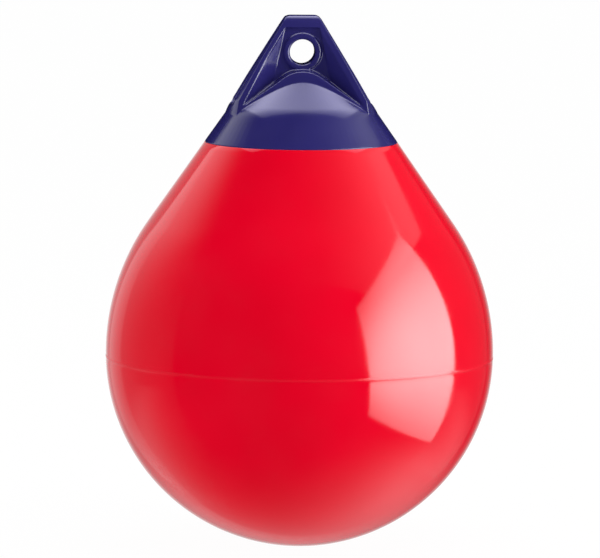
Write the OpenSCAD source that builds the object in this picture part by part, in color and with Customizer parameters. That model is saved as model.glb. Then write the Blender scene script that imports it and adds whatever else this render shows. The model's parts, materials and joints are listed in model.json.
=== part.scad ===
// Inflatable mooring buoy: a pear-shaped vinyl body with a moulded rope hold on top.
// The origin is on the upright axis at the free-floating waterline, +Z is up and the eye runs along Y.

/* [Body] */
// Diameter of the round lower half of the body
body_d = 430; // [400:5:470]
// Radius of the arc that draws the shoulder in above the widest ring
shoulder_r = 254; // [240:2:270]
// Lean of the straight taper between the shoulder and the cap, from upright
taper_angle = 35; // [33:0.5:37]
// Thickness of the vinyl wall
body_wall = 3.5; // [2.5:0.1:5]
// Depth of the body's lowest point below the waterline
draft = 67; // [40:1:120]

/* [Mould seam] */
// Height of the seam bead below the widest ring
seam_drop = 3; // [0:0.5:8]
// Width of the seam bead
seam_w = 4; // [2:0.5:6]
// Height that the seam bead stands out
seam_h = 0.8; // [0.4:0.1:1.5]

/* [Cap] */
// Radius at which the cap meets the body
cap_edge_r = 106.5; // [100:0.5:112]
// Radius at which the cap's straight taper ends and its knee starts
knee_start_r = 85.5; // [83:0.5:87]
// Radius of the knee's arc
knee_r = 45; // [35:1:55]
// Lean of the cap's crown above the knee, from upright
crown_angle = 57; // [55:0.5:59]
// Thickness of the cap's wall
cap_wall = 10; // [9:0.5:14]
// Thickness of the cap's rim where it laps over the body's lip
lap_rim = 3; // [2:0.25:4]
// Length of the body's lip under the cap
lap_len = 9; // [6:0.5:10]
// Bond line between the cap and the body
bond_gap = 0.2; // [0.1:0.05:0.4]

/* [Rope hold] */
// Height of the rope hold above the cap's edge
hold_h = 140; // [134:1:148]
// Width of the rope hold at its top, before its corners are rounded
hold_top_w = 37; // [33:1:41]
// Thickness of the rope hold at its top, before its edges are rounded
hold_top_t = 29; // [26:0.5:32]
// Lean of the rope hold's round sides
side_angle = 33.5; // [33:0.1:34.5]
// Lean of the flat along the middle of each side
flat_angle = 31.4; // [30.6:0.1:32]
// Lean of the rope hold's front and back faces
face_angle = 14.3; // [13:0.1:16]
// Radius of the round sides
side_r = 96; // [85:1:115]
// Radius of the rope hold's foot at the height of the cap's edge
foot_r = 92.5; // [91:0.5:95]
// Lean of the foot
foot_angle = 15; // [12:0.5:18]
// Radius of the top corners, seen from the front
top_corner_r = 10.5; // [7:0.5:12]
// Radius of the top edges, seen from the side
top_edge_r = 11.5; // [8:0.5:13]

/* [Front and back pockets] */
// Thickness of the web between the two pockets
web_t = 28; // [26:0.5:30]
// Width of the rib beside each pocket
rib_w = 6.5; // [5:0.5:9]
// Distance from the top of the rope hold down to the pockets
pocket_drop = 13; // [12:0.5:18]
// Half of the web's width at the pocket's top
web_top_half = 19; // [17:0.5:20]
// Half of the web's width at the pocket's foot
web_foot_half = 32; // [29:0.5:36]
// Height of the arched sill's crown above the cap's edge
sill_z = 79; // [77:0.5:82]
// Radius of the sill's crown
sill_r = 36; // [30:1:42]
// Rise of the sill from its front edge back to the web
sill_rise = 3; // [2:0.5:5]
// Fall of the sill's straight sides, from level
sill_angle = 38.5; // [37:0.5:40]
// Height of the pocket's foot corners above the cap's edge
pocket_foot_z = 40; // [38:0.5:44]

/* [Side pockets] */
// Depth of a side pocket below the flat
side_pocket_h = 3; // [2:0.25:4]
// Width of the rib between a side pocket and the front or back face
side_rib_w = 9; // [7:0.25:11]
// Height of the ledge at a side pocket's foot above the cap's edge
ledge_z = 41; // [40:0.5:46]
// Radius of the ledge's corners
ledge_r = 8; // [4:0.5:12]
// Distance from the top of the rope hold down to the middle of a side pocket's round top
side_pocket_drop = 22; // [20:0.5:30]

/* [Eye] */
// Diameter of the eye
eye_d = 28; // [24:0.5:30]
// Height of the eye's centre above the cap's edge
eye_z = 100; // [98:0.5:102]
// Width of the raised ring round the eye
ring_w = 7.25; // [6:0.25:8]
// Height that the ring stands out from the web
ring_h = 3.5; // [2.5:0.5:5]
// Radius of the ring's edges
ring_edge_r = 3; // [1.5:0.25:3.2]

/* [Valve] */
// Distance of the valve from the cap's edge, up the taper behind
valve_along = 27; // [26:0.5:30]
// Radius of the valve seat's flange
flange_r = 15; // [13.5:0.5:18]
// Depth that the flange is let into the cap
flange_sink = 3; // [2.5:0.25:4]
// Thickness of the flange
flange_t = 4; // [3.5:0.25:5]
// Radius of the seat's stem
stem_r = 9; // [8:0.5:11]
// Length of the stem below the flange
stem_len = 19; // [16:1:24]
// Radius of the plug's shank
shank_r = 4.5; // [3.5:0.25:5]
// Length of the plug's shank below its head
shank_len = 14; // [10:1:15]
// Radius of the plug's head
head_r = 8; // [7:0.25:9.5]
// Thickness of the plug's head
head_t = 4; // [3:0.25:5]
// Depth of the recess that takes the washer and the plug's head
recess_h = 2.4; // [2:0.1:3]
// Thickness of the sealing washer
washer_t = 1.5; // [1:0.1:2.5]
// Width of the coin slot in the plug's head
slot_w = 2.6; // [1.5:0.1:3.5]
// Depth of the coin slot
slot_h = 1.8; // [1:0.1:2]

/* [Clearances] */
// Gap round the valve seat in the cap
seat_gap = 0.2; // [0.1:0.05:0.4]
// Radial gap round the plug's shank
shank_gap = 0.05; // [0.03:0.01:0.1]
// Gap below the washer and round the plug's head
head_gap = 0.3; // [0.2:0.05:0.6]

/* [Hidden] */
$fn = 96;
big = 4 * body_d;

body_r = body_d / 2;
equator_z = body_r - draft;

// Taper of the body: its start on the shoulder and its end at the cap, above the widest ring
taper_dir = [-sin(taper_angle), cos(taper_angle)];
inward = [-cos(taper_angle), -sin(taper_angle)];
shoulder_c = [body_r - shoulder_r, 0];
taper_start = shoulder_c - shoulder_r * inward;
taper_len = (taper_start[0] - cap_edge_r) / sin(taper_angle);
cap_edge = taper_start + taper_len * taper_dir;
cap_z = equator_z + cap_edge[1];

// Lip that the cap laps over
lip_out = lap_rim + bond_gap;
lip_in = lip_out + body_wall;
lip_root = 1.5 * lap_len;

// Round section of the seam bead
seam_round = (seam_w * seam_w / 4 + seam_h * seam_h) / (2 * seam_h);

// Knee of the cap and the flat of its crown, above the widest ring
cap_taper_len = (cap_edge_r - knee_start_r) / sin(taper_angle);
knee_c = cap_edge + cap_taper_len * taper_dir + knee_r * inward;
crown_flat_r = web_t / 2 - 2;
crown_len = (knee_c[0] + knee_r * cos(crown_angle) - crown_flat_r) / sin(crown_angle);

// Corners of the rope hold
corner_x = hold_top_w / 2 + top_corner_r * tan(flat_angle) - top_corner_r / cos(flat_angle);
edge_y = hold_top_t / 2 + top_edge_r * tan(face_angle) - top_edge_r / cos(face_angle);

// Heights of the valve's pieces along its axis, from the cap's surface
recess_floor = flange_t - flange_sink - recess_h;
washer_low = recess_floor + head_gap;
head_low = washer_low + washer_t;

// Half thickness of the rope hold at a height above the cap's edge
function face_y(z) = hold_top_t / 2 + (hold_h - z) * tan(face_angle);

// Half width of the rope hold's front face at a height above the cap's edge
function face_x(z) =
    let (y = face_y(z) / side_r, reach = side_r / cos(side_angle))
    hold_top_w / 2 + (hold_h - z) * tan(side_angle) - reach * (1 - sqrt(1 - y * y));

// Height of the sill at a distance from the middle: a round crown with straight sides
function sill_height(x) =
    let (turn = sill_r * sin(sill_angle), a = abs(x))
    a < turn
        ? sill_z - sill_r + sqrt(sill_r * sill_r - a * a)
        : sill_z - sill_r * (1 - cos(sill_angle)) - (a - turn) * tan(sill_angle);

// A point of the body's profile: along the taper from the cap's edge, and in from the surface
function neck(along, depth) = cap_edge + along * taper_dir + depth * inward;

// A point of the cap's profile on its knee: at an angle up from level, and in from the surface
function knee(turn, depth) = knee_c + (knee_r - depth) * [cos(turn), sin(turn)];

// A point of the cap's profile: along the crown from the knee's end, and in from the surface
function crown(along, depth) =
    knee(crown_angle, depth) + along * [-sin(crown_angle), cos(crown_angle)];

module in_place() translate([0, 0, cap_z]) children();

module both_sides() {
    children();
    mirror([1, 0, 0]) children();
}

module both_faces() {
    children();
    mirror([0, 1, 0]) children();
}

// Wedge of a plane seen from a point, between two directions
module wedge(from, low, high) {
    polygon([
        from,
        from + big * [cos(low), sin(low)],
        from + big * [cos(high), sin(high)]
    ]);
}

module ring_sector(centre, outer, inner, low, high) {
    intersection() {
        translate(centre) difference() {
            circle(outer);
            circle(inner);
        }
        wedge(centre, low, high);
        translate([0, -big]) square([big, 2 * big]);
    }
}

module body_profile() {
    intersection() {
        difference() {
            circle(body_r);
            circle(body_r - body_wall);
        }
        translate([0, -big]) square([big, big]);
    }
    ring_sector(shoulder_c, shoulder_r, shoulder_r - body_wall, 0, taper_angle);
    polygon([
        neck(-taper_len, 0),
        neck(-bond_gap, 0),
        neck(-bond_gap, lip_out),
        neck(lap_len, lip_out),
        neck(lap_len, lip_in),
        neck(-lap_len / 2, lip_in),
        neck(-lip_root, body_wall),
        neck(-taper_len, body_wall)
    ]);
    intersection() {
        translate([body_r + seam_h - seam_round, -seam_drop]) circle(seam_round);
        translate([body_r - body_wall / 2, -big / 2]) square([big, big]);
    }
}

module body_shell() {
    color("#D90A22") translate([0, 0, equator_z]) rotate_extrude($fn = 180) body_profile();
}

// Section of the cap: taper, knee and crown of one thickness, with a rebate for the body's lip
module cap_profile() {
    steps = 8;
    turns = [for (i = [0:steps]) taper_angle + (crown_angle - taper_angle) * i / steps];
    top = crown(crown_len, 0);
    under = crown(crown_len + cap_wall * tan(crown_angle / 2), cap_wall);
    polygon(concat(
        [neck(0, lap_rim), neck(0, 0)],
        [for (turn = turns) knee(turn, 0)],
        [top, [0, top[1]], [0, under[1]], under],
        [for (i = [steps:-1:0]) knee(turns[i], cap_wall)],
        [neck(lap_len + bond_gap, cap_wall), neck(lap_len + bond_gap, lap_rim)]
    ));
}

// Room under the middle of the cap's wall
module cap_room() {
    depth = cap_wall / 2;
    top = crown(crown_len, depth);
    polygon([
        [0, 0],
        [neck(0, depth)[0], 0],
        neck(0, depth),
        neck(cap_taper_len, depth),
        crown(0, depth),
        top,
        [0, top[1]]
    ]);
}

// Round side of the rope hold, on +X
module side_round() {
    translate([hold_top_w / 2 - side_r * cos(side_angle), 0, hold_h - side_r * sin(side_angle)])
        rotate([0, -side_angle, 0]) cylinder(r = side_r, h = 4 * hold_h, center = true);
}

// Outline with two leaning sides and a round-cornered top
module round_top(half, radius, lean) {
    steps = 8;
    corner = [
        for (i = [0:steps])
            let (turn = lean + (90 - lean) * i / steps)
            [half + radius * cos(turn), hold_h - radius + radius * sin(turn)]
    ];
    foot = corner[0] + hold_h / cos(lean) * [sin(lean), -cos(lean)];
    right = concat([foot], corner);
    left = [for (i = [len(right) - 1:-1:0]) [-right[i][0], right[i][1]]];
    polygon(concat(right, left));
}

module hold_block() {
    reach = 1.5 * hold_h;
    intersection() {
        rotate([90, 0, 90]) linear_extrude(big, center = true)
            round_top(edge_y, top_edge_r, face_angle);
        rotate([90, 0, 0]) linear_extrude(big, center = true)
            round_top(corner_x, top_corner_r, flat_angle);
        side_round();
        mirror([1, 0, 0]) side_round();
        cylinder(r1 = foot_r, r2 = foot_r - reach * tan(foot_angle), h = reach);
    }
}

// Drafted pocket in the front face, from the web's flat floor out past the ribs
module front_pocket() {
    over = 1.3;
    steps = 12;
    turn = sill_r * sin(sill_angle);
    top_z = hold_h - pocket_drop;
    foot_z = sill_height(web_foot_half) + sill_rise;
    sill_xs = [for (i = [0:steps]) turn * (1 - 2 * i / steps)];
    mouth = concat(
        [[face_x(top_z) - rib_w, top_z], [face_x(pocket_foot_z) - rib_w, pocket_foot_z]],
        [for (x = sill_xs) [x, sill_height(x)]],
        [[rib_w - face_x(pocket_foot_z), pocket_foot_z], [rib_w - face_x(top_z), top_z]]
    );
    floor_edge = concat(
        [[web_top_half, top_z], [web_foot_half, foot_z]],
        [for (x = sill_xs) [x, sill_height(x) + sill_rise]],
        [[-web_foot_half, foot_z], [-web_top_half, top_z]]
    );
    count = len(mouth);
    inner = [for (p = floor_edge) [p[0], -web_t / 2, p[1]]];
    outer = [
        for (i = [0:count - 1])
            let (m = [mouth[i][0], -face_y(mouth[i][1]), mouth[i][1]])
            inner[i] + over * (m - inner[i])
    ];
    hub_z = (top_z + sill_z) / 2;
    hubs = [[0, -web_t / 2, hub_z], [0, -over * face_y(pocket_foot_z), hub_z]];
    next = [for (i = [0:count - 1]) (i + 1) % count];
    polyhedron(
        concat(inner, outer, hubs),
        concat(
            [for (i = [0:count - 1]) [i, next[i], count + i]],
            [for (i = [0:count - 1]) [next[i], count + next[i], count + i]],
            [for (i = [0:count - 1]) [2 * count, next[i], i]],
            [for (i = [0:count - 1]) [2 * count + 1, count + i, count + next[i]]]
        )
    );
}

// Pocket in the flat on +X: a floor along the flat, a round top and a ledge at the foot
module side_pocket() {
    top_z = hold_h - side_pocket_drop;
    top_half = face_y(top_z) - side_rib_w;
    top_r = top_half * cos(face_angle);
    foot_z = ledge_z + ledge_r;
    foot_half = face_y(foot_z) - side_rib_w - ledge_r / cos(face_angle);
    out = [cos(face_angle), sin(face_angle)];
    right = [[foot_half, ledge_z], [foot_half, foot_z] + ledge_r * out, [0, top_z] + top_r * out];
    left = [for (i = [len(right) - 1:-1:0]) [-right[i][0], right[i][1]]];
    floor_x = hold_top_w / 2 - side_pocket_h / cos(flat_angle);
    intersection() {
        rotate([90, 0, 90]) linear_extrude(big) {
            translate([0, top_z]) circle(top_r);
            for (side = [-1, 1]) translate([side * foot_half, foot_z]) circle(ledge_r);
            polygon(concat(right, left));
        }
        translate([floor_x, 0, hold_h]) rotate([0, -flat_angle, 0]) translate([0, -big / 2, -big / 2])
            cube(big);
    }
}

module along_eye() translate([0, 0, eye_z]) rotate([90, 0, 0]) children();

// Raised ring round the eye, with round edges
module eye_ring() {
    half = web_t / 2 + ring_h;
    straight = half - ring_edge_r;
    near = eye_d / 2 + ring_edge_r;
    far = eye_d / 2 + ring_w - ring_edge_r;
    along_eye() rotate_extrude() {
        translate([eye_d / 2, -straight]) square([ring_w, 2 * straight]);
        translate([near, -half]) square([far - near, 2 * half]);
        for (r = [near, far], z = [-straight, straight]) translate([r, z]) circle(ring_edge_r);
    }
}

// Local frame of the valve: its origin on the back of the cap, +Z pointing out
module on_valve() {
    spot = neck(valve_along, 0);
    translate([0, spot[0], equator_z + spot[1]]) rotate([taper_angle - 90, 0, 0]) children();
}

module valve_hole() {
    on_valve() {
        translate([0, 0, -flange_sink - bond_gap]) cylinder(r = flange_r + seat_gap, h = hold_h / 6);
        translate([0, 0, -stem_len - flange_sink]) cylinder(r = stem_r + seat_gap, h = stem_len + flange_sink);
    }
}

module rope_hold() {
    color("#262160") difference() {
        union() {
            translate([0, 0, equator_z]) rotate_extrude($fn = 180) cap_profile();
            difference() {
                in_place() hold_block();
                in_place() both_sides() side_pocket();
                translate([0, 0, equator_z]) rotate_extrude($fn = 180) cap_room();
            }
        }
        in_place() {
            both_faces() front_pocket();
            along_eye() cylinder(d = eye_d + ring_w, h = big, center = true);
        }
        valve_hole();
    }
    color("#262160") in_place() eye_ring();
}

module valve_seat() {
    low = -flange_sink;
    color("#D8D8D2") on_valve() difference() {
        union() {
            translate([0, 0, low]) cylinder(r = flange_r, h = flange_t);
            translate([0, 0, low - stem_len]) cylinder(r = stem_r, h = stem_len + flange_t / 2);
        }
        translate([0, 0, low - stem_len - 1]) cylinder(r = shank_r + shank_gap, h = 2 * stem_len);
        translate([0, 0, recess_floor]) cylinder(r = head_r + head_gap, h = flange_t);
    }
}

module valve_washer() {
    color("#202022") on_valve() translate([0, 0, washer_low]) difference() {
        cylinder(r = head_r - head_gap, h = washer_t);
        translate([0, 0, -1]) cylinder(r = shank_r + shank_gap, h = washer_t + 2);
    }
}

module valve_plug() {
    color("#E6E6E0") on_valve() translate([0, 0, head_low]) difference() {
        union() {
            cylinder(r = head_r, h = head_t);
            translate([0, 0, -shank_len]) cylinder(r = shank_r, h = shank_len + head_t / 2);
        }
        translate([-big / 2, -slot_w / 2, head_t - slot_h]) cube([big, slot_w, head_t]);
    }
}

body_shell();
rope_hold();
valve_seat();
valve_washer();
valve_plug();
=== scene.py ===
"""Studio scene of an inflatable mooring buoy.

A glossy red vinyl body, a navy vinyl cap moulded in one with its ribbed rope hold, and a screw valve behind.
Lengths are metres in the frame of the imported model: +Z is up, the front faces -Y and the origin lies on the
upright axis at the waterline. Sizes that a maker would quote in millimetres go through mm().
"""

import json
import logging
import math
from dataclasses import dataclass
from enum import Enum

import bmesh
import bpy
from mathutils import Matrix, Vector


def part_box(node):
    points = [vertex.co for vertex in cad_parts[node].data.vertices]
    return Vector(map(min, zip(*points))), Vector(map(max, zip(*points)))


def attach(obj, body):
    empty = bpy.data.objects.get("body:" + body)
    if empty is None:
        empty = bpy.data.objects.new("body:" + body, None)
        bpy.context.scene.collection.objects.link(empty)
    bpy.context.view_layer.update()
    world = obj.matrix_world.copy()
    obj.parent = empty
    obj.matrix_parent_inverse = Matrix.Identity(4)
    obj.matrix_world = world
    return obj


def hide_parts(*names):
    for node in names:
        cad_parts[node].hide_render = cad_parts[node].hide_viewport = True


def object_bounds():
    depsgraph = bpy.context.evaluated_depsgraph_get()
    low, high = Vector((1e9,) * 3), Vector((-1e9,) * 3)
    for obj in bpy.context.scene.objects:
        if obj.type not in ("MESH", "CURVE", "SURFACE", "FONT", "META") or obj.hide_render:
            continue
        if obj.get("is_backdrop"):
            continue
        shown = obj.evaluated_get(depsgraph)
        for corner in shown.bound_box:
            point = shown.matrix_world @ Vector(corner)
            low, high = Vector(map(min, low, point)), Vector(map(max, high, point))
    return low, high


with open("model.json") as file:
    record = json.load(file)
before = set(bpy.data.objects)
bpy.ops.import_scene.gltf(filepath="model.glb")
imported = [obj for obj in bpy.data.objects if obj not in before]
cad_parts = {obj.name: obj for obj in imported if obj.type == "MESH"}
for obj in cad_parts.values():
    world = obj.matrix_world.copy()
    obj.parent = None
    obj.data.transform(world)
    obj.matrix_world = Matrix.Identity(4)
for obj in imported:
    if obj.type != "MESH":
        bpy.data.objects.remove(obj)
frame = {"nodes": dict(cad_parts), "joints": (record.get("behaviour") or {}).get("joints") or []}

LOG = logging.getLogger("mooring_buoy")
PHOTO_WIDTH_PX = 600
HOLD_PIECE = "rope_hold_moulding"


class Body(Enum):
    """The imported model's bodies that pieces ride on."""

    BUOY = "buoy"
    WASHER = "washer"
    PLUG = "plug"


class Slot(Enum):
    """The record's material slots."""

    BODY = "body_vinyl"
    HOLD = "hold_vinyl"
    VALVE = "valve_nylon"
    SEAL = "seal_rubber"


class Facing(Enum):
    """The ways that the studio's far panels face."""

    LEFT = (-1, 0, 0)
    FRONT = (0, -1, 0)
    DOWN = (0, 0, -1)
    UP = (0, 0, 1)


def mm(value: float) -> float:
    """Turns millimetres into metres."""
    return value / 1000


def linear(code: str) -> tuple[float, float, float, float]:
    """Turns an sRGB hex colour into Blender's linear colour.

    Args:
        code: the colour as "#RRGGBB".

    Returns:
        Linear red, green and blue, with an alpha of 1.
    """
    shares = [int(code[i:i + 2], 16) / 255 for i in (1, 3, 5)]
    red, green, blue = (s / 12.92 if s <= 0.04045 else ((s + 0.055) / 1.055) ** 2.4 for s in shares)
    return red, green, blue, 1.0


def add_node(tree: bpy.types.NodeTree, kind: str, inputs: dict[str | int, object] | None = None,
             **settings: object) -> bpy.types.Node:
    """Adds a shader node with its settings, values and links.

    Args:
        tree: the node tree that gets the node.
        kind: the node's type, such as "ShaderNodeTexNoise".
        inputs: values by input name or number; an output socket as a value is linked.
        settings: the node's own properties.

    Returns:
        The new node.
    """
    node = tree.nodes.new(kind)
    for name, value in settings.items():
        setattr(node, name, value)
    for name, value in (inputs or {}).items():
        if isinstance(value, bpy.types.NodeSocket):
            tree.links.new(value, node.inputs[name])
        else:
            node.inputs[name].default_value = value
    return node


def new_object(name: str, bm: bmesh.types.BMesh) -> bpy.types.Object:
    """Puts a finished bmesh into the scene as a smooth-shaded object at the origin.

    Args:
        name: the piece's name.
        bm: the shape, which is freed.

    Returns:
        The new object.
    """
    mesh = bpy.data.meshes.new(name)
    bm.to_mesh(mesh)
    bm.free()
    mesh.shade_smooth()
    obj = bpy.data.objects.new(name, mesh)
    bpy.context.scene.collection.objects.link(obj)
    return obj


def apply_modifiers(obj: bpy.types.Object) -> None:
    """Replaces an object's mesh by what its modifiers make of it.

    Args:
        obj: the object, which loses its modifiers.
    """
    evaluated = obj.evaluated_get(bpy.context.evaluated_depsgraph_get())
    rough = obj.data
    obj.data = bpy.data.meshes.new_from_object(evaluated)
    obj.modifiers.clear()
    bpy.data.meshes.remove(rough)
    obj.data.name = obj.name


def dress(obj: bpy.types.Object, material: bpy.types.Material) -> None:
    """Gives an object one material."""
    obj.data.materials.clear()
    obj.data.materials.append(material)


def all_but(piece: str) -> bpy.types.Collection:
    """Makes a light link to everything but one piece.

    Args:
        piece: the name of the piece that is left out.

    Returns:
        The link's collection.
    """
    link = bpy.data.collections.new("all_but_" + piece)
    link.objects.link(bpy.data.objects[piece])
    link.collection_objects[0].light_linking.link_state = "EXCLUDE"
    return link


@dataclass(frozen=True)
class MouldedFinish:
    """A moulded plastic or rubber, whose skin copies the mould it came out of.

    Pattern sizes are millimetres on the real surface, and a span holds the noise values between which a
    pattern changes. The seam fields describe the rough band along a parting line at one height, and a
    seam_half of 0 leaves it out.
    """

    name: str
    colour: str
    drift_colour: str
    drift_mm: float
    ior: float
    roughness_low: float
    roughness_high: float
    smear_mm: float
    ripple_mm: float
    ripple_height_mm: float
    grain_mm: float
    grain_height_mm: float
    drift_span: tuple[float, float] = (0.35, 0.65)
    smear_span: tuple[float, float] = (0.35, 0.7)
    seam_z: float = 0.0
    seam_half: float = 0.0
    seam_pitch_mm: float = 3.0
    seam_height_mm: float = 0.25
    seam_dulling: float = 0.1

    def material(self) -> bpy.types.Material:
        """Builds the node material.

        Returns:
            The material, named after the plastic.
        """
        material = bpy.data.materials.new(self.name)
        material.use_nodes = True
        tree = material.node_tree
        shader = tree.nodes["Principled BSDF"]
        shader.inputs["IOR"].default_value = self.ior
        place = add_node(tree, "ShaderNodeTexCoord").outputs["Object"]
        tree.links.new(self._colour(tree, place), shader.inputs["Base Color"])
        tree.links.new(self._roughness(tree, place), shader.inputs["Roughness"])
        tree.links.new(self._relief(tree, place), shader.inputs["Normal"])
        return material

    def _noise(self, tree: bpy.types.NodeTree, place: bpy.types.NodeSocket, size_mm: float,
               detail: float = 2.0) -> bpy.types.NodeSocket:
        """Noise whose blots measure about size_mm across."""
        inputs = {"Vector": place, "Scale": 1 / mm(size_mm), "Detail": detail}
        return add_node(tree, "ShaderNodeTexNoise", inputs).outputs["Fac"]

    def _colour(self, tree: bpy.types.NodeTree, place: bpy.types.NodeSocket) -> bpy.types.NodeSocket:
        """Makes a pigment that drifts a little from place to place.

        Args:
            tree: the material's node tree.
            place: Object coordinates.

        Returns:
            The colour.
        """
        ramp = add_node(tree, "ShaderNodeValToRGB", {"Fac": self._noise(tree, place, self.drift_mm)})
        codes = (self.drift_colour, self.colour)
        for element, position, code in zip(ramp.color_ramp.elements, self.drift_span, codes):
            element.position = position
            element.color = linear(code)
        return ramp.outputs["Color"]

    def _roughness(self, tree: bpy.types.NodeTree, place: bpy.types.NodeSocket) -> bpy.types.NodeSocket:
        """Makes a gloss that dulls in smears, and along the parting line.

        Args:
            tree: the material's node tree.
            place: Object coordinates.

        Returns:
            The roughness.
        """
        smear = self._noise(tree, place, self.smear_mm, detail=4.0)
        low, high = self.smear_span
        inputs = {"Value": smear, "From Min": low, "From Max": high,
                  "To Min": self.roughness_low, "To Max": self.roughness_high}
        gloss = add_node(tree, "ShaderNodeMapRange", inputs).outputs["Result"]
        if not self.seam_half:
            return gloss
        inputs = {0: self._seam(tree, place), 1: self.seam_dulling, 2: gloss}
        return add_node(tree, "ShaderNodeMath", inputs, operation="MULTIPLY_ADD").outputs["Value"]

    def _seam(self, tree: bpy.types.NodeTree, place: bpy.types.NodeSocket) -> bpy.types.NodeSocket:
        """Makes a band along the parting line.

        Args:
            tree: the material's node tree.
            place: Object coordinates.

        Returns:
            A value that is 1 on the line and fades to 0 at seam_half above and below it.
        """
        height = add_node(tree, "ShaderNodeSeparateXYZ", {"Vector": place}).outputs["Z"]
        above = add_node(tree, "ShaderNodeMath", {0: height, 1: self.seam_z}, operation="SUBTRACT")
        away = add_node(tree, "ShaderNodeMath", {0: above.outputs["Value"]}, operation="ABSOLUTE")
        inputs = {"Value": away.outputs["Value"], "From Min": 0.0, "From Max": self.seam_half,
                  "To Min": 1.0, "To Max": 0.0}
        band = add_node(tree, "ShaderNodeMapRange", inputs, interpolation_type="SMOOTHSTEP")
        return band.outputs["Result"]

    def _relief(self, tree: bpy.types.NodeTree, place: bpy.types.NodeSocket) -> bpy.types.NodeSocket:
        """Makes the skin's slow ripples, its fine grain, and the ragged flash of the parting line.

        Args:
            tree: the material's node tree.
            place: Object coordinates.

        Returns:
            The normal.
        """
        ripple = self._noise(tree, place, self.ripple_mm)
        inputs = {"Height": ripple, "Strength": 1.0, "Distance": mm(self.ripple_height_mm)}
        normal = add_node(tree, "ShaderNodeBump", inputs).outputs["Normal"]
        grain = self._noise(tree, place, self.grain_mm)
        inputs = {"Height": grain, "Strength": 1.0, "Distance": mm(self.grain_height_mm), "Normal": normal}
        normal = add_node(tree, "ShaderNodeBump", inputs).outputs["Normal"]
        if not self.seam_half:
            return normal
        ragged = self._noise(tree, place, self.seam_pitch_mm, detail=3.0)
        inputs = {0: ragged, 1: self._seam(tree, place)}
        flash = add_node(tree, "ShaderNodeMath", inputs, operation="MULTIPLY")
        inputs = {"Height": flash.outputs["Value"], "Strength": 1.0, "Distance": mm(self.seam_height_mm),
                  "Normal": normal}
        return add_node(tree, "ShaderNodeBump", inputs).outputs["Normal"]


class Profile:
    """A line drawn from point to point in the XZ plane and turned about the upright axis."""

    def __init__(self, radius: float, height: float) -> None:
        """Starts the line.

        Args:
            radius: distance of the first point from the axis.
            height: height of the first point.
        """
        self.bm = bmesh.new()
        self.end = self.bm.verts.new((radius, 0, height))

    def line_to(self, radius: float, height: float, steps: int = 1) -> "Profile":
        """Adds a straight stretch.

        Args:
            radius: distance of its end from the axis.
            height: height of its end.
            steps: the number of edges.

        Returns:
            The profile, so that stretches can be chained.
        """
        begin = self.end.co.copy()
        goal = Vector((radius, 0, height))
        for step in range(1, steps + 1):
            self.end = bmesh.ops.extrude_vert_indiv(self.bm, verts=[self.end])["verts"][0]
            self.end.co = begin.lerp(goal, step / steps)
        return self

    def arc(self, radius: float, height: float, degrees: float, steps: int) -> "Profile":
        """Adds an arc that starts at the line's end.

        Args:
            radius: distance of the arc's centre from the axis.
            height: height of the arc's centre.
            degrees: the turn, positive from outwards to upwards.
            steps: the number of edges.

        Returns:
            The profile, so that stretches can be chained.
        """
        made = bmesh.ops.spin(self.bm, geom=[self.end], cent=(radius, 0, height), axis=(0, -1, 0),
                              angle=math.radians(degrees), steps=steps)
        self.end = next(item for item in made["geom_last"] if isinstance(item, bmesh.types.BMVert))
        return self

    def turn(self, steps: int) -> bmesh.types.BMesh:
        """Turns the line into a closed skin.

        Args:
            steps: the number of faces round the axis.

        Returns:
            The skin, with its normals outwards.
        """
        bmesh.ops.spin(self.bm, geom=self.bm.verts[:] + self.bm.edges[:], cent=(0, 0, 0), axis=(0, 0, 1),
                       angle=math.tau, steps=steps, use_merge=True)
        bmesh.ops.remove_doubles(self.bm, verts=self.bm.verts, dist=mm(0.01))
        bmesh.ops.recalc_face_normals(self.bm, faces=self.bm.faces)
        return self.bm


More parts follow.
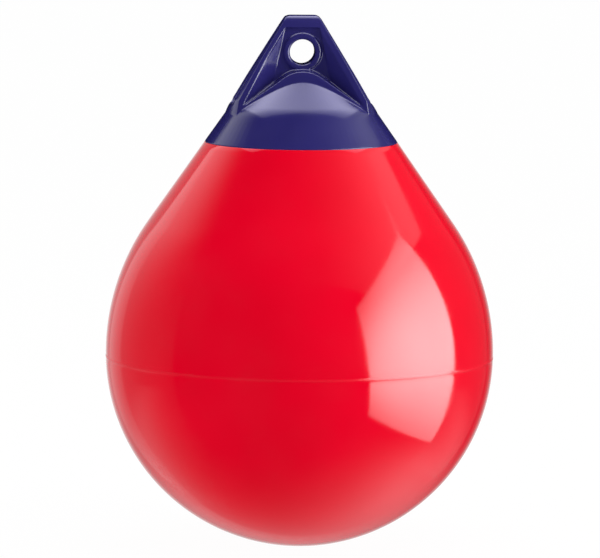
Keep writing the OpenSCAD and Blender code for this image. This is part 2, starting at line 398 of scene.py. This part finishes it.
@dataclass
class InflatedBody:
    """The red body: a round bottom, a shoulder arc, a straight taper and a lip under the cap."""

    radius: float = mm(215)
    shoulder_radius: float = mm(254)
    taper: float = 35.0
    cap_edge_radius: float = mm(106.5)
    wall: float = mm(3.5)
    lip_depth: float = mm(3.2)
    lip_length: float = mm(9)
    lip_gap: float = mm(0.2)
    edge_round: float = mm(0.12)
    seam_drop: float = mm(3)
    seam_width: float = mm(4)
    seam_height: float = mm(0.2)
    turn_steps: int = 256
    bottom_steps: int = 84
    bead_steps: int = 8
    shoulder_steps: int = 40
    taper_steps: int = 16
    inner_shoulder_steps: int = 12
    inner_bottom_steps: int = 30

    def __post_init__(self) -> None:
        """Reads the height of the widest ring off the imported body."""
        lowest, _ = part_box("body_shell")
        self.equator = lowest.z + self.radius
        self.seam_z = self.equator - self.seam_drop

    def neck(self, along: float, depth: float) -> tuple[float, float]:
        """A point near the top of the taper.

        Args:
            along: distance up the taper from the cap's edge.
            depth: distance in from the surface.

        Returns:
            Its radius and height.
        """
        lean = math.radians(self.taper)
        start_r = self.radius - self.shoulder_radius + self.shoulder_radius * math.cos(lean)
        start_z = self.equator + self.shoulder_radius * math.sin(lean)
        length = (start_r - self.cap_edge_radius) / math.sin(lean) + along
        return (start_r - length * math.sin(lean) - depth * math.cos(lean),
                start_z + length * math.cos(lean) - depth * math.sin(lean))

    def build(self) -> bpy.types.Object:
        """Models the body in place of its plain solid.

        Returns:
            The body's object.
        """
        half = self.seam_width / 2
        low_turn = math.degrees(math.asin((self.seam_drop + half) / self.radius))
        high_turn = math.degrees(math.asin((self.seam_drop - half) / self.radius))
        bead_radius = (half ** 2 + self.seam_height ** 2) / (2 * self.seam_height)
        bead_turn = 2 * math.degrees(math.asin(half / bead_radius))
        seam_r = self.radius * math.cos(math.radians((low_turn + high_turn) / 2))
        bead_r = seam_r + self.seam_height - bead_radius
        shoulder_r = self.radius - self.shoulder_radius
        inner = self.wall
        skin = Profile(0, self.equator - self.radius)
        skin.arc(0, self.equator, 90 - low_turn, self.bottom_steps)
        skin.arc(bead_r, self.seam_z, bead_turn, self.bead_steps)
        skin.line_to(self.radius, self.equator, steps=2)
        skin.arc(shoulder_r, self.equator, self.taper, self.shoulder_steps)
        skin.line_to(*self.neck(-self.lip_gap - self.edge_round, 0), steps=self.taper_steps)
        skin.line_to(*self.neck(-self.lip_gap - self.edge_round / 4, self.edge_round / 4))
        skin.line_to(*self.neck(-self.lip_gap, self.edge_round))
        skin.line_to(*self.neck(-self.lip_gap, self.lip_depth))
        skin.line_to(*self.neck(self.lip_length, self.lip_depth))
        skin.line_to(*self.neck(self.lip_length, self.lip_depth + inner))
        skin.line_to(*self.neck(-self.lip_length / 2, self.lip_depth + inner))
        skin.line_to(*self.neck(-1.5 * self.lip_length, inner))
        lean = math.radians(self.taper)
        reach = self.shoulder_radius - inner
        skin.line_to(shoulder_r + reach * math.cos(lean), self.equator + reach * math.sin(lean), steps=4)
        skin.arc(shoulder_r, self.equator, -self.taper, self.inner_shoulder_steps)
        skin.arc(0, self.equator, -90, self.inner_bottom_steps)
        obj = new_object("inflated_body", skin.turn(self.turn_steps))
        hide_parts("body_shell")
        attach(obj, Body.BUOY.value)
        return obj

    def finish(self) -> MouldedFinish:
        """Plasticised PVC from a polished mould, blown tight.

        The eye gets a wet gloss with clean-edged reflections that waver a little, and a duller parting line.

        Returns:
            The body's finish.
        """
        return MouldedFinish(
            name="plasticised_pvc_red", colour="#E60024", drift_colour="#E00021", drift_mm=140, ior=1.53,
            roughness_low=0.07, roughness_high=0.12, smear_mm=45, ripple_mm=85, ripple_height_mm=0.05,
            grain_mm=2.2, grain_height_mm=0.0008, seam_z=self.seam_z, seam_half=mm(2.6))


@dataclass
class RopeHold:
    """The navy cap in one moulding with its ribbed rope hold, its edges rounded as the mould rounds them."""

    voxel: float = mm(0.8)
    rounds: int = 2
    triangle_goal: int = 190_000

    def build(self) -> bpy.types.Object:
        """Models the rope hold in place of its sharp-edged solid.

        Returns:
            The rope hold's object.
        """
        bm = bmesh.new()
        bm.from_mesh(frame["nodes"]["rope_hold"].data)
        bmesh.ops.remove_doubles(bm, verts=bm.verts, dist=mm(0.001))
        obj = new_object(HOLD_PIECE, bm)
        skin = obj.modifiers.new("even_skin", "REMESH")
        skin.mode = "VOXEL"
        skin.voxel_size = self.voxel
        apply_modifiers(obj)
        self._round_edges(obj)
        self._thin(obj)
        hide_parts("rope_hold")
        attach(obj, Body.BUOY.value)
        return obj

    def _round_edges(self, obj: bpy.types.Object) -> None:
        """Rounds every edge a little.

        Args:
            obj: the rope hold's object.
        """
        bm = bmesh.new()
        bm.from_mesh(obj.data)
        for _ in range(self.rounds):
            bmesh.ops.smooth_vert(bm, verts=bm.verts, factor=0.5, use_axis_x=True, use_axis_y=True,
                                  use_axis_z=True)
        bm.to_mesh(obj.data)
        bm.free()

    def _thin(self, obj: bpy.types.Object) -> None:
        """Thins the skin, first where it is flat, to fewer triangles than a piece may have.

        Args:
            obj: the rope hold's object.
        """
        thin = obj.modifiers.new("thin", "DECIMATE")
        thin.ratio = min(1.0, self.triangle_goal / (2 * len(obj.data.polygons)))
        apply_modifiers(obj)
        obj.data.shade_smooth()

    def finish(self) -> MouldedFinish:
        """Stiffer PVC, injection moulded in a polished tool.

        The eye gets a deep navy with a softer gloss than the body's and bright lines along the rounded edges.

        Returns:
            The rope hold's finish.
        """
        return MouldedFinish(
            name="injection_moulded_pvc_navy", colour="#2A2668", drift_colour="#262262", drift_mm=60, ior=1.5,
            roughness_low=0.14, roughness_high=0.2, smear_mm=25, ripple_mm=40, ripple_height_mm=0.03,
            grain_mm=1.6, grain_height_mm=0.001)


@dataclass
class ValvePiece:
    """A turned piece of the air valve. Heights run along the valve's axis, outwards from the cap's skin."""

    turn_steps: int = 96

    def __post_init__(self) -> None:
        """Reads the valve's place and axis off the plug's joint."""
        hinge = next(joint for joint in frame["joints"] if joint["name"] == "plug_turn")
        turn = Vector(hinge["axis"]).to_track_quat("Z", "Y").to_matrix().to_4x4()
        self.place = Matrix.Translation(hinge["pos_m"]) @ turn

    def fit(self, name: str, bm: bmesh.types.BMesh, node: str, body: Body, slot: Slot) -> bpy.types.Object:
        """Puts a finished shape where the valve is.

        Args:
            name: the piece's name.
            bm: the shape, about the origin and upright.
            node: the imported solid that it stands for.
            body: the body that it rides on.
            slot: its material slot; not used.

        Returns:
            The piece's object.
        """
        bmesh.ops.transform(bm, matrix=self.place, verts=bm.verts)
        obj = new_object(name, bm)
        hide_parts(node)
        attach(obj, body.value)
        return obj


@dataclass
class ValveSeat(ValvePiece):
    """The nylon seat that is let into the cap: a flange with a recess for the plug's head, and a stem."""

    flange_radius: float = mm(15)
    flange_low: float = mm(-3)
    flange_top: float = mm(1)
    recess_radius: float = mm(8.3)
    recess_floor: float = mm(-1.4)
    stem_radius: float = mm(9)
    stem_low: float = mm(-22)
    bore_radius: float = mm(4.55)
    edge: float = mm(0.7)
    edge_steps: int = 6

    def build(self) -> bpy.types.Object:
        """Models the seat.

        Returns:
            The seat's object.
        """
        edge = self.edge
        skin = Profile(self.bore_radius, self.recess_floor)
        skin.line_to(self.bore_radius, self.stem_low).line_to(self.stem_radius, self.stem_low)
        skin.line_to(self.stem_radius, self.flange_low).line_to(self.flange_radius, self.flange_low)
        skin.line_to(self.flange_radius, self.flange_top - edge)
        skin.arc(self.flange_radius - edge, self.flange_top - edge, 90, self.edge_steps)
        skin.line_to(self.recess_radius + edge, self.flange_top)
        skin.arc(self.recess_radius + edge, self.flange_top - edge, 90, self.edge_steps)
        skin.line_to(self.recess_radius, self.recess_floor).line_to(self.bore_radius, self.recess_floor)
        bm = skin.turn(self.turn_steps)
        return self.fit("valve_seat_moulding", bm, "valve_seat", Body.BUOY, Slot.VALVE)

    def finish(self) -> MouldedFinish:
        """Natural nylon, off-white and waxy, with a slight haze over its gloss.

        Returns:
            The seat's finish.
        """
        return MouldedFinish(
            name="natural_nylon", colour="#D9D8D0", drift_colour="#D2D0C5", drift_mm=9, ior=1.53,
            roughness_low=0.3, roughness_high=0.42, smear_mm=5, ripple_mm=6, ripple_height_mm=0.02,
            grain_mm=0.5, grain_height_mm=0.004)


@dataclass
class ValveWasher(ValvePiece):
    """The flat sealing washer under the plug's head."""

    outer_radius: float = mm(7.7)
    inner_radius: float = mm(4.55)
    low: float = mm(-1.1)
    high: float = mm(0.4)
    edge: float = mm(0.3)
    edge_steps: int = 4

    def build(self) -> bpy.types.Object:
        """Models the washer.

        Returns:
            The washer's object.
        """
        edge = self.edge
        skin = Profile(self.inner_radius, self.low)
        skin.line_to(self.outer_radius - edge, self.low)
        skin.arc(self.outer_radius - edge, self.low + edge, 90, self.edge_steps)
        skin.line_to(self.outer_radius, self.high - edge)
        skin.arc(self.outer_radius - edge, self.high - edge, 90, self.edge_steps)
        skin.line_to(self.inner_radius, self.high).line_to(self.inner_radius, self.low)
        bm = skin.turn(self.turn_steps)
        return self.fit("sealing_washer", bm, "valve_washer", Body.WASHER, Slot.SEAL)

    def finish(self) -> MouldedFinish:
        """Black nitrile rubber with the dull, faintly grained skin of a pressed sheet.

        Returns:
            The washer's finish.
        """
        return MouldedFinish(
            name="nitrile_rubber", colour="#1E1E20", drift_colour="#242426", drift_mm=4, ior=1.52,
            roughness_low=0.5, roughness_high=0.65, smear_mm=3, ripple_mm=3, ripple_height_mm=0.02,
            grain_mm=0.35, grain_height_mm=0.01)


@dataclass
class ValvePlug(ValvePiece):
    """The screw plug: a round-edged head with a coin slot, and a threaded shank with a tapered tip.

    The thread's foot and crest run between shares of its pitch, and it stops thread_end turns under the head.
    """

    head_radius: float = mm(8)
    head_low: float = mm(0.4)
    head_top: float = mm(4.4)
    head_edge: float = mm(1.1)
    head_edge_steps: int = 8
    slot_width: float = mm(2.6)
    slot_depth: float = mm(1.8)
    shank_low: float = mm(-13.6)
    thread_radius: float = mm(4.45)
    root_radius: float = mm(3.6)
    pitch: float = mm(3)
    tip: float = mm(1.2)
    thread_sunk: float = mm(0.3)
    thread_foot: tuple[float, float] = (0.06, 0.54)
    thread_crest: tuple[float, float] = (0.24, 0.36)
    thread_end: float = 0.6
    thread_steps: int = 48
    crease_angle: float = 35.0

    def build(self) -> bpy.types.Object:
        """Models the plug.

        Returns:
            The plug's object.
        """
        edge = self.head_edge
        skin = Profile(0, self.shank_low)
        skin.line_to(self.root_radius - self.tip, self.shank_low)
        skin.line_to(self.root_radius, self.shank_low + self.tip)
        skin.line_to(self.root_radius, self.head_low).line_to(self.head_radius, self.head_low)
        skin.line_to(self.head_radius, self.head_top - edge)
        skin.arc(self.head_radius - edge, self.head_top - edge, 90, self.head_edge_steps)
        skin.line_to(0, self.head_top)
        bm = skin.turn(self.turn_steps)
        self._thread(bm)
        obj = self.fit("screw_plug", bm, "valve_plug", Body.PLUG, Slot.VALVE)
        self._cut_slot(obj)
        return obj

    def _thread(self, bm: bmesh.types.BMesh) -> None:
        """Winds a thread of trapezium section up the shank, from its tip towards the head.

        Args:
            bm: the plug's shape, about the origin and upright.
        """
        sunk = self.root_radius - self.thread_sunk
        low = self.shank_low + self.tip / 2
        foot_low, foot_high = self.thread_foot
        crest_low, crest_high = self.thread_crest
        section = [(sunk, foot_low), (self.thread_radius, crest_low),
                   (self.thread_radius, crest_high), (sunk, foot_high)]
        ring = [bm.verts.new((radius, 0, low + share * self.pitch)) for radius, share in section]
        begin = bm.faces.new(ring)
        turns = (self.head_low - low) / self.pitch - self.thread_end
        steps = round(turns * self.thread_steps)
        bmesh.ops.spin(bm, geom=[begin], cent=(0, 0, 0), axis=(0, 0, 1), steps=steps,
                       dvec=(0, 0, self.pitch / self.thread_steps),
                       angle=steps / self.thread_steps * math.tau)
        bmesh.ops.recalc_face_normals(bm, faces=bm.faces)

    def _cut_slot(self, obj: bpy.types.Object) -> None:
        """Cuts the coin slot across the head.

        Args:
            obj: the plug's object.
        """
        bm = bmesh.new()
        bmesh.ops.create_cube(bm, size=1)
        bmesh.ops.scale(bm, vec=(4 * self.head_radius, self.slot_width, 2 * self.slot_depth), verts=bm.verts)
        bmesh.ops.translate(bm, vec=(0, 0, self.head_top), verts=bm.verts)
        bmesh.ops.transform(bm, matrix=self.place, verts=bm.verts)
        cutter = new_object("coin_slot", bm)
        cut = obj.modifiers.new("slot", "BOOLEAN")
        cut.operation = "DIFFERENCE"
        cut.object = cutter
        apply_modifiers(obj)
        cutter_mesh = cutter.data
        bpy.data.objects.remove(cutter)
        bpy.data.meshes.remove(cutter_mesh)
        obj.data.set_sharp_from_angle(angle=math.radians(self.crease_angle))

    def finish(self) -> MouldedFinish:
        """White nylon, a touch brighter and smoother than the seat's from handling.

        Returns:
            The plug's finish.
        """
        return MouldedFinish(
            name="white_nylon", colour="#E4E4DE", drift_colour="#DCDBD3", drift_mm=6, ior=1.53,
            roughness_low=0.26, roughness_high=0.38, smear_mm=4, ripple_mm=5, ripple_height_mm=0.015,
            grain_mm=0.5, grain_height_mm=0.003)


@dataclass(frozen=True)
class ReflectionCard:
    """A studio panel that the gloss sees: an even or glowing rectangle with no part in the plain lighting.

    The glow falls off from a hot spot, given from the panel's middle along its own X and Y, and fall is how
    far it carries each way. The lower corner on the panel's +X side may be drawn in, and roll turns the panel
    in its plane, in degrees. The piece named in passes doesn't shade the panel's light, and the one named in
    spares doesn't get it.
    """

    name: str
    centre: tuple[float, float, float]
    facing: tuple[float, float, float]
    width: float
    height: float
    strength: float
    hot_spot: tuple[float, float] = (0.0, 0.0)
    fall: tuple[float, float] | None = None
    corner_in: float = 0.0
    roll: float = 0.0
    passes: str = ""
    spares: str = ""
    colour: str = "#FFFFFF"

    def build(self) -> bpy.types.Object:
        """Makes the panel.

        Returns:
            The panel's object, marked as stage.
        """
        bm = bmesh.new()
        bmesh.ops.create_grid(bm, x_segments=1, y_segments=1, size=0.5)
        bmesh.ops.scale(bm, vec=(self.width, self.height, 1), verts=bm.verts)
        corner = [v for v in bm.verts if v.co.x > 0 > v.co.y]
        bmesh.ops.translate(bm, vec=(-self.corner_in, 0, 0), verts=corner)
        obj = new_object(self.name, bm)
        turn = Vector(self.facing).to_track_quat("Z", "Y").to_matrix().to_4x4()
        roll = Matrix.Rotation(math.radians(self.roll), 4, "Z")
        obj.matrix_world = Matrix.Translation(self.centre) @ turn @ roll
        for ray in ("camera", "diffuse", "transmission", "volume_scatter", "shadow"):
            setattr(obj, "visible_" + ray, False)
        dress(obj, self._material())
        obj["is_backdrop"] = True
        if self.passes:
            obj.light_linking.blocker_collection = all_but(self.passes)
        if self.spares:
            obj.light_linking.receiver_collection = all_but(self.spares)
        return obj

    def _material(self) -> bpy.types.Material:
        """Builds the panel's glow, which lets through what lies behind it.

        Returns:
            The material.
        """
        material = bpy.data.materials.new(self.name)
        material.use_nodes = True
        tree = material.node_tree
        tree.nodes.clear()
        glow = add_node(tree, "ShaderNodeEmission", {"Color": linear(self.colour), "Strength": self.strength})
        if self.fall:
            tree.links.new(self._level(tree), glow.inputs["Strength"])
        clear = add_node(tree, "ShaderNodeBsdfTransparent")
        both = add_node(tree, "ShaderNodeAddShader", {0: glow.outputs["Emission"], 1: clear.outputs["BSDF"]})
        add_node(tree, "ShaderNodeOutputMaterial", {"Surface": both.outputs["Shader"]})
        return material

    def _level(self, tree: bpy.types.NodeTree) -> bpy.types.NodeSocket:
        """Makes the glow's level, which falls off from the hot spot as a bell curve does.

        Args:
            tree: the material's node tree.

        Returns:
            The level, which is strength at the hot spot.
        """
        place = add_node(tree, "ShaderNodeTexCoord").outputs["Object"]
        inputs = {0: place, 1: (*self.hot_spot, 0.0)}
        away = add_node(tree, "ShaderNodeVectorMath", inputs, operation="SUBTRACT").outputs["Vector"]
        inputs = {0: away, 1: (*self.fall, 1.0)}
        falls = add_node(tree, "ShaderNodeVectorMath", inputs, operation="DIVIDE").outputs["Vector"]
        square = add_node(tree, "ShaderNodeVectorMath", {0: falls, 1: falls}, operation="DOT_PRODUCT")
        inputs = {0: square.outputs["Value"], 1: -0.5}
        power = add_node(tree, "ShaderNodeMath", inputs, operation="MULTIPLY").outputs["Value"]
        share = add_node(tree, "ShaderNodeMath", {0: power}, operation="EXPONENT").outputs["Value"]
        inputs = {0: share, 1: self.strength}
        return add_node(tree, "ShaderNodeMath", inputs, operation="MULTIPLY").outputs["Value"]


@dataclass(frozen=True)
class StudioLamp:
    """A large soft lamp for the plain lighting. The gloss sees the cards in its place."""

    name: str
    centre: tuple[float, float, float]
    aim: tuple[float, float, float]
    size: float
    power: float

    def build(self) -> bpy.types.Object:
        """Hangs the lamp.

        Returns:
            The lamp's object.
        """
        light = bpy.data.lights.new(self.name, "AREA")
        light.shape = "DISK"
        light.size = self.size
        light.energy = self.power
        obj = bpy.data.objects.new(self.name, light)
        obj.location = self.centre
        obj.rotation_euler = (Vector(self.aim) - Vector(self.centre)).to_track_quat("-Z", "Y").to_euler()
        obj.visible_camera = False
        obj.visible_glossy = False
        bpy.context.scene.collection.objects.link(obj)
        return obj


@dataclass
class Studio:
    """The white studio: floor, plain light, the cards that the gloss mirrors, and the camera.

    The far cards stand about as far off as far says, so only their direction matters. The near ones stand
    upright on the left, from near_edge along near_run. Cards that overlap lie in planes a little apart,
    because in one plane they would hide each other.
    """

    floor_half: float = 12.0
    floor_gap: float = mm(0.5)
    floor_colour: str = "#F4F4F4"
    floor_glow: float = 0.975
    floor_bounce: float = 0.85
    ambient: float = 0.8
    far: float = 4.0
    near_edge: tuple[float, float, float] = (-0.345, 0.28, 0.3)
    near_run: tuple[float, float, float] = (-0.62, -0.55, 0.0)
    near_height: float = 2.4
    near_gap: float = mm(20)
    camera_azimuth: float = -2.5
    camera_elevation: float = 6.6
    camera_roll: float = 0.48
    camera_distance: float = 5.6
    aim_height: float = mm(230)
    focal_pixels: float = 5050.0
    sensor: float = 36.0

    def cards(self) -> list[ReflectionCard]:
        """Lists the panels that the gloss mirrors.

        Returns:
            The far panels and the two near ones on the left.
        """
        d = self.far
        run = Vector(self.near_run)
        side = Vector((0, 0, 1)).cross(run).normalized()
        middle = Vector(self.near_edge) + run / 2
        half = run.length / 2
        return [
            ReflectionCard(
                name="softbox_right", centre=(d, -0.635 * d, 0.1 * d), facing=Facing.LEFT.value,
                width=1.59 * d, height=1.66 * d, strength=9.9,
                hot_spot=(-0.185 * d, -0.03 * d), fall=(0.82 * d, 0.5 * d), corner_in=0.25 * d, roll=-4.5),
            ReflectionCard(
                name="wall_right", centre=(d, 0.78 * d, 0), facing=Facing.LEFT.value,
                width=1.24 * d, height=2 * d, strength=0.1),
            ReflectionCard(
                name="ceiling_right", centre=(0.42 * d, 0.3 * d, d), facing=Facing.DOWN.value,
                width=1.83 * d, height=3 * d, strength=0.85,
                hot_spot=(-0.78 * d, 0), fall=(0.5 * d, 0.9 * d)),
            ReflectionCard(
                name="floor_right", centre=(0.75 * d, 0.25 * d, -d), facing=Facing.UP.value,
                width=3 * d, height=3 * d, strength=0.9, fall=(0.42 * d, 0.42 * d)),
            ReflectionCard(
                name="floor_back", centre=(0, 2 * d, -1.03 * d), facing=Facing.UP.value,
                width=8 * d, height=6 * d, strength=0.48,
                hot_spot=(0, 0.9 * d), fall=(2.5 * d, 0.6 * d)),
            ReflectionCard(
                name="bounce_left", centre=tuple(middle), facing=tuple(side),
                width=2 * half, height=self.near_height, strength=0.25,
                hot_spot=(half, -0.2), fall=(0.55, 0.4)),
            ReflectionCard(
                name="bounce_left_top", centre=tuple(middle - self.near_gap * side), facing=tuple(side),
                width=2 * half, height=self.near_height, strength=1.25,
                hot_spot=(half, 0.42), fall=(0.215, 0.25)),
            ReflectionCard(
                name="backdrop", centre=(0, d, 0.2 * d), facing=Facing.FRONT.value,
                width=2.15 * d, height=2.6 * d, strength=0.36,
                hot_spot=(-0.5 * d, 0), fall=(0.5 * d, 1.2 * d), spares=HOLD_PIECE),
            ReflectionCard(
                name="backdrop_middle", centre=(0.04 * d, 1.06 * d, -0.12 * d), facing=Facing.FRONT.value,
                width=1.8 * d, height=1.8 * d, strength=0.9, fall=(0.26 * d, 0.26 * d), spares=HOLD_PIECE),
            ReflectionCard(
                name="overhead", centre=(0.05 * d, 0.55 * d, 1.03 * d), facing=Facing.DOWN.value,
                width=1.46 * d, height=1.1 * d, strength=4.6, colour="#E8E6FF",
                hot_spot=(0.15 * d, 0.08 * d), fall=(0.85 * d, 0.38 * d), passes=HOLD_PIECE),
        ]

    def lamps(self) -> list[StudioLamp]:
        """Lists the lamps of the plain lighting.

        Returns:
            The lamps.
        """
        return [
            StudioLamp("key_right", centre=(2.6, -1.0, 1.2), aim=(0, 0, 0.2), size=1.6, power=44),
            StudioLamp("top", centre=(0, 0.5, 2.7), aim=(0, 0, 0.4), size=1.8, power=16),
            StudioLamp("fill_left", centre=(-2.2, -0.4, 0.9), aim=(0, 0, 0.3), size=1.6, power=6),
        ]

    def build(self) -> None:
        """Sets up everything that isn't the buoy."""
        self._floor()
        self._world()
        for item in [*self.cards(), *self.lamps()]:
            item.build()
        self._camera()
        bpy.context.scene.view_settings.view_transform = "Standard"

    def _floor(self) -> None:
        """Lays a white floor just under the round bottom, which keeps a faint shadow."""
        lowest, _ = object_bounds()
        bm = bmesh.new()
        bmesh.ops.create_grid(bm, x_segments=1, y_segments=1, size=self.floor_half)
        bmesh.ops.translate(bm, verts=bm.verts, vec=(0, 0, lowest.z - self.floor_gap))
        floor = new_object("studio_floor", bm)
        floor.visible_glossy = False
        material = bpy.data.materials.new("white_studio_floor")
        material.use_nodes = True
        tree = material.node_tree
        tree.nodes.clear()
        path = add_node(tree, "ShaderNodeLightPath")
        inputs = {0: path.outputs["Is Diffuse Ray"], 1: self.floor_bounce}
        bounce = add_node(tree, "ShaderNodeMath", inputs, operation="MULTIPLY").outputs["Value"]
        inputs = {0: path.outputs["Is Camera Ray"], 1: self.floor_glow, 2: bounce}
        share = add_node(tree, "ShaderNodeMath", inputs, operation="MULTIPLY_ADD").outputs["Value"]
        paint = add_node(tree, "ShaderNodeBsdfDiffuse", {"Color": linear(self.floor_colour)}).outputs["BSDF"]
        glow = add_node(tree, "ShaderNodeEmission").outputs["Emission"]
        mixed = add_node(tree, "ShaderNodeMixShader", {0: share, 1: paint, 2: glow})
        add_node(tree, "ShaderNodeOutputMaterial", {"Surface": mixed.outputs["Shader"]})
        dress(floor, material)
        floor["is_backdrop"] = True

    def _world(self) -> None:
        """Makes the surround white to the camera, even to the plain lighting and dark to the gloss."""
        world = bpy.data.worlds.new("white_surround")
        bpy.context.scene.world = world
        world.use_nodes = True
        tree = world.node_tree
        tree.nodes.clear()
        path = add_node(tree, "ShaderNodeLightPath")
        inputs = {0: path.outputs["Is Diffuse Ray"], 1: self.ambient}
        dull = add_node(tree, "ShaderNodeMath", inputs, operation="MULTIPLY").outputs["Value"]
        inputs = {0: path.outputs["Is Camera Ray"], 1: path.outputs["Is Transmission Ray"]}
        shown = add_node(tree, "ShaderNodeMath", inputs, operation="MAXIMUM").outputs["Value"]
        level = add_node(tree, "ShaderNodeMath", {0: dull, 1: shown}, operation="ADD").outputs["Value"]
        light = add_node(tree, "ShaderNodeBackground", {"Strength": level, "Color": linear("#FFFFFF")})
        add_node(tree, "ShaderNodeOutputWorld", {"Surface": light.outputs["Background"]})

    def _camera(self) -> None:
        """Puts the camera where the photograph was taken from."""
        azimuth = math.radians(self.camera_azimuth)
        elevation = math.radians(self.camera_elevation)
        back = Vector((math.sin(azimuth) * math.cos(elevation), -math.cos(azimuth) * math.cos(elevation),
                       math.sin(elevation)))
        data = bpy.data.cameras.new("camera")
        data.sensor_width = self.sensor
        data.lens = self.focal_pixels / PHOTO_WIDTH_PX * self.sensor
        data.clip_end = 100
        camera = bpy.data.objects.new("camera", data)
        turn = (-back).to_track_quat("-Z", "Y").to_matrix().to_4x4()
        roll = Matrix.Rotation(math.radians(self.camera_roll), 4, "Z")
        place = Vector((0, 0, self.aim_height)) + back * self.camera_distance
        camera.matrix_world = Matrix.Translation(place) @ turn @ roll
        bpy.context.scene.collection.objects.link(camera)
        bpy.context.scene.camera = camera


def main() -> None:
    """Builds the buoy piece by piece, then the studio."""
    logging.basicConfig(level=logging.INFO, format="%(name)s: %(message)s")
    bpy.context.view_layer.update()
    for assembly in (InflatedBody(), RopeHold(), ValveSeat(), ValveWasher(), ValvePlug()):
        piece = assembly.build()
        finish = assembly.finish()
        dress(piece, finish.material())
        LOG.info("%s: %d faces in %s", piece.name, len(piece.data.polygons), finish.name)
    Studio().build()


if __name__ == "__main__":
    main()
